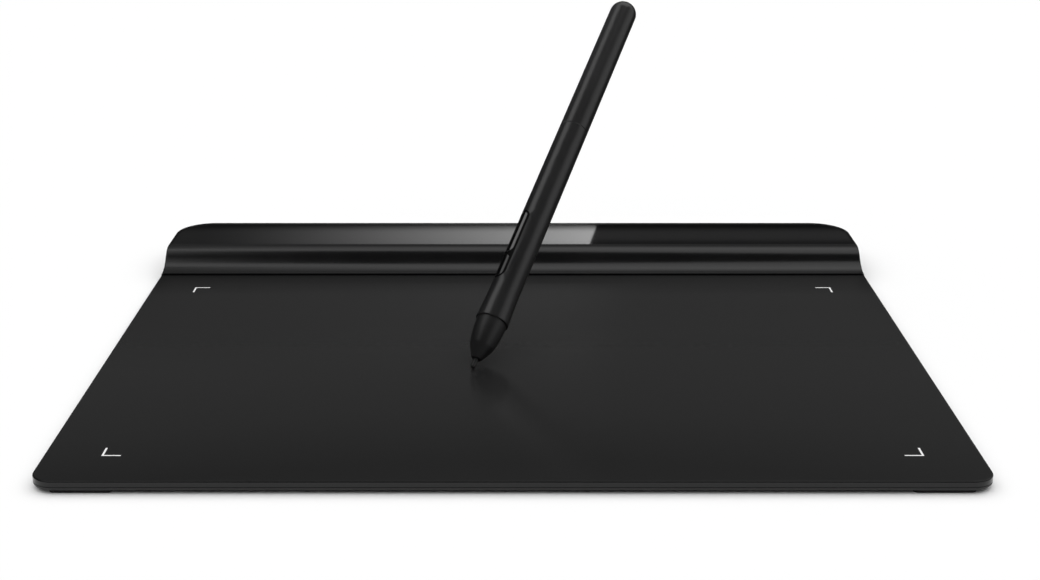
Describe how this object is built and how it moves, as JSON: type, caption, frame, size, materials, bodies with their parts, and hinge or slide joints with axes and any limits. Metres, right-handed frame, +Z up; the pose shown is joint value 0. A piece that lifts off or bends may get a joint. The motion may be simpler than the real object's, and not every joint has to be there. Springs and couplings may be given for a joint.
{
  "type": "graphics tablet",
  "caption": "Slim graphics tablet with a raised header bar, a glossy strip and corner marks, and a stylus with a sprung nib and side keys standing on it.",
  "frame": {"origin": "centre of the whole part's footprint, on the surface it stands on; the stylus stays inside the tablet's footprint", "axes": "+X to the right along the header bar, +Y from the user's edge to the header bar, +Z up"},
  "size_m": [0.242, 0.2052, 0.0961],
  "materials": {
    "case_plastic": "satin",
    "foot_rubber": "matt",
    "work_surface": "fine matt texture",
    "mark_ink": "matt print",
    "adhesive_film": "clear",
    "sensor_laminate": "solder mask",
    "shield_steel": "plain",
    "header_plastic": "satin",
    "strip_gloss": "piano gloss",
    "board_laminate": "solder mask",
    "screw_steel": "plain",
    "screw_black": "black zinc",
    "chip_epoxy": "matt",
    "can_metal": "plain",
    "ceramic_tan": "matt",
    "connector_ivory": "satin",
    "flex_film": "film",
    "socket_steel": "plain",
    "tongue_plastic": "matt",
    "nose_plastic": "matt",
    "barrel_plastic": "satin",
    "coupler_plastic": "plain",
    "bezel_plastic": "satin",
    "switch_metal": "plain",
    "carrier_plastic": "plain",
    "ferrite_grey": "sintered",
    "coil_copper": "enamelled wire",
    "sensor_body": "plain",
    "pad_silicone": "matt",
    "nib_plastic": "satin",
    "holder_plastic": "plain",
    "key_plastic": "satin gloss"
  },
  "bodies": {
    "tablet": {"base_case": "case_plastic", "rubber_feet": "foot_rubber", "drawing_plate": "work_surface", "active_area_marks": "mark_ink", "plate_adhesive": "adhesive_film", "sensor_board": "sensor_laminate", "shield_sheet": "shield_steel", "header_cover": "header_plastic", "gloss_strip": "strip_gloss", "main_board": "board_laminate", "board_screws": "screw_steel", "case_screws": "screw_black", "controller_chip": "chip_epoxy", "analog_chips": "chip_epoxy", "crystal_can": "can_metal", "board_capacitors": "ceramic_tan", "flex_connector": "connector_ivory", "sensor_flex_cable": "flex_film", "usb_socket_shell": "socket_steel", "usb_socket_tongue": "tongue_plastic"},
    "pen": {"nose_cone": "nose_plastic", "lower_barrel": "barrel_plastic", "upper_barrel": "barrel_plastic", "barrel_coupler": "coupler_plastic", "key_bezel": "bezel_plastic", "key_switches": "switch_metal", "pen_board": "board_laminate", "pen_capacitors": "ceramic_tan", "board_carrier": "carrier_plastic", "ferrite_core": "ferrite_grey", "coil_winding": "coil_copper", "pressure_sensor": "sensor_body", "sensor_pad": "pad_silicone"},
    "nib": {"nib": "nib_plastic", "nib_holder": "holder_plastic"},
    "lower_key": {"lower_key": "key_plastic"},
    "upper_key": {"upper_key": "key_plastic"}
  },
  "joints": [
    {"name": "pen_lift", "type": "slide", "parent": "tablet", "child": "pen", "axis": [0, 0, 1], "range_m": [0, 0.06]},
    {"name": "nib_press", "type": "slide", "parent": "pen", "child": "nib", "axis": [0.3468, 0.6949, 0.63], "range_m": [0, 0.0004], "stiffness_N_per_m": 2000},
    {"name": "lower_key_press", "type": "slide", "parent": "pen", "child": "lower_key", "axis": [0.7274, 0.2248, -0.6483], "range_m": [0, 0.00035], "stiffness_N_per_m": 3000},
    {"name": "upper_key_press", "type": "slide", "parent": "pen", "child": "upper_key", "axis": [0.7274, 0.2248, -0.6483], "range_m": [0, 0.00035], "stiffness_N_per_m": 3000}
  ]
}
